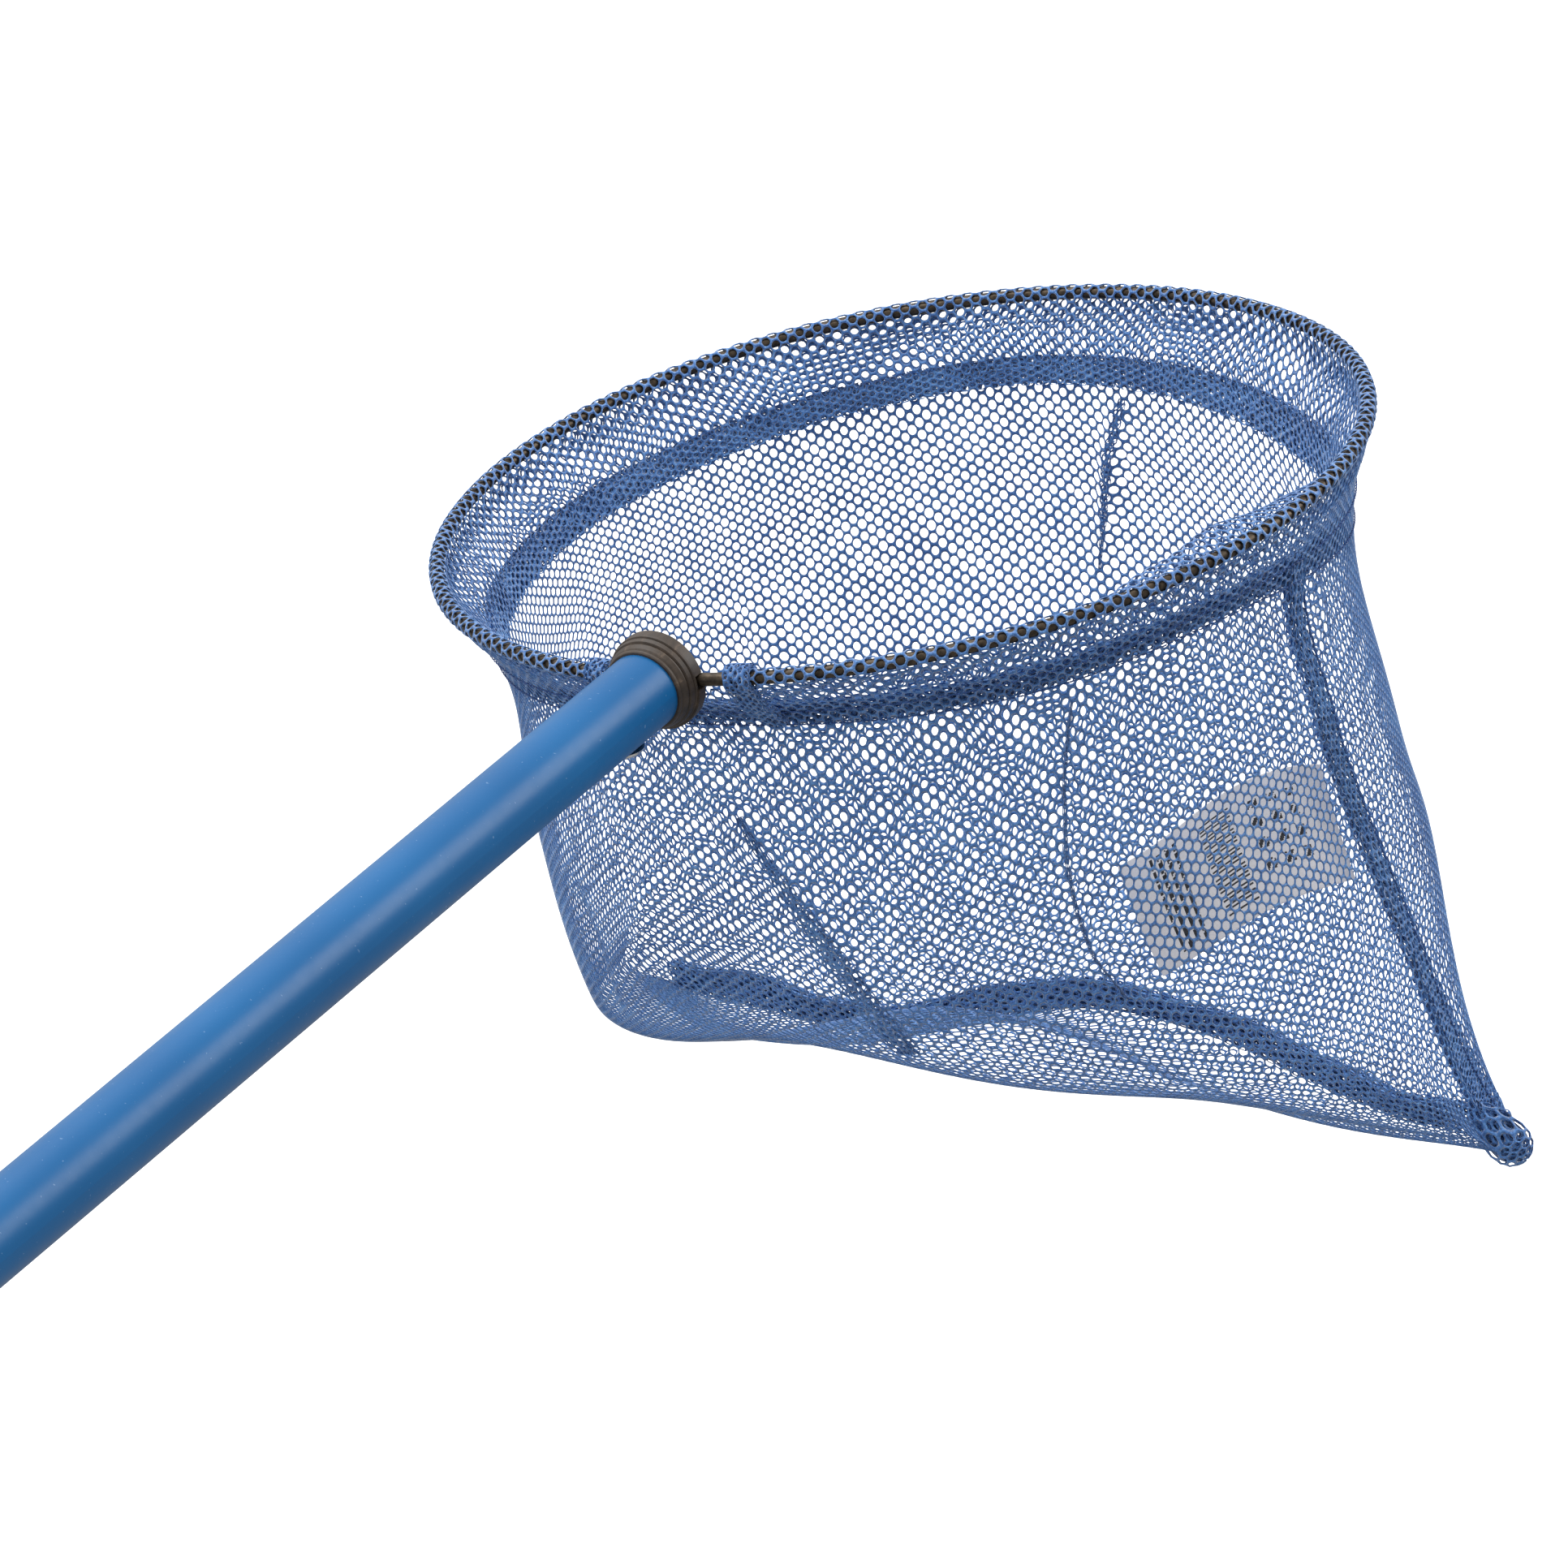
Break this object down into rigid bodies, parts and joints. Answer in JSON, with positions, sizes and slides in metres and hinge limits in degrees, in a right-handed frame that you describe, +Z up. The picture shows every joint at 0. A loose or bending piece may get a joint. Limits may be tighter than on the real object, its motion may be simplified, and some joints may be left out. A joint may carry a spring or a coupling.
{
  "type": "leaf skimmer net",
  "caption": "Hand-held leaf skimmer: a coated tube handle, a ribbed plug that holds a round wire hoop, and a sewn mesh bag that hangs from the hoop.",
  "frame": {"origin": "on the handle's axis, at the middle of the hand grip, 120 mm from the tube's butt end", "axes": "+Y along the handle towards the hoop, +Z up out of the hoop's mouth, the bag hangs towards -Z"},
  "size_m": [0.3007, 0.9039, 0.2316],
  "materials": {
    "bare_steel": "satin",
    "handle_blue": "satin",
    "cap_grey": "matte",
    "plug_brown": "satin",
    "dark_wire": "satin",
    "rivet_aluminium": "polished",
    "netting": "knitted",
    "thread": "thread",
    "label_cloth": "satin ribbon"
  },
  "bodies": {
    "handle": {"handle_tube": "bare_steel", "handle_coating": "handle_blue", "end_cap": "cap_grey", "hoop_plug": "plug_brown", "hoop_wire": "dark_wire", "rivet_shell": "rivet_aluminium", "rivet_mandrel": "bare_steel"},
    "net": {"net_bag": "netting", "rim_sleeve": "netting", "casing_ends": "netting", "fold_down": "netting", "hem_band": "netting", "hem_stitching": "thread", "side_seam": "netting", "side_stitching": "thread", "bottom_seam": "netting", "bottom_stitching": "thread"},
    "label": {"care_label": "label_cloth"}
  },
  "joints": [
    {"name": "net_slide_round_hoop", "type": "hinge", "parent": "handle", "child": "net", "pos_m": [0, 0.6252, 0], "axis": [0, 0, 1], "range_deg": [-2.6, 0]},
    {"name": "label_swing", "type": "hinge", "parent": "net", "child": "label", "pos_m": [0.1218, 0.6245, -0.0851], "axis": [-0.0666, -0.0875, 0.9939], "range_deg": [-40, 2]}
  ]
}
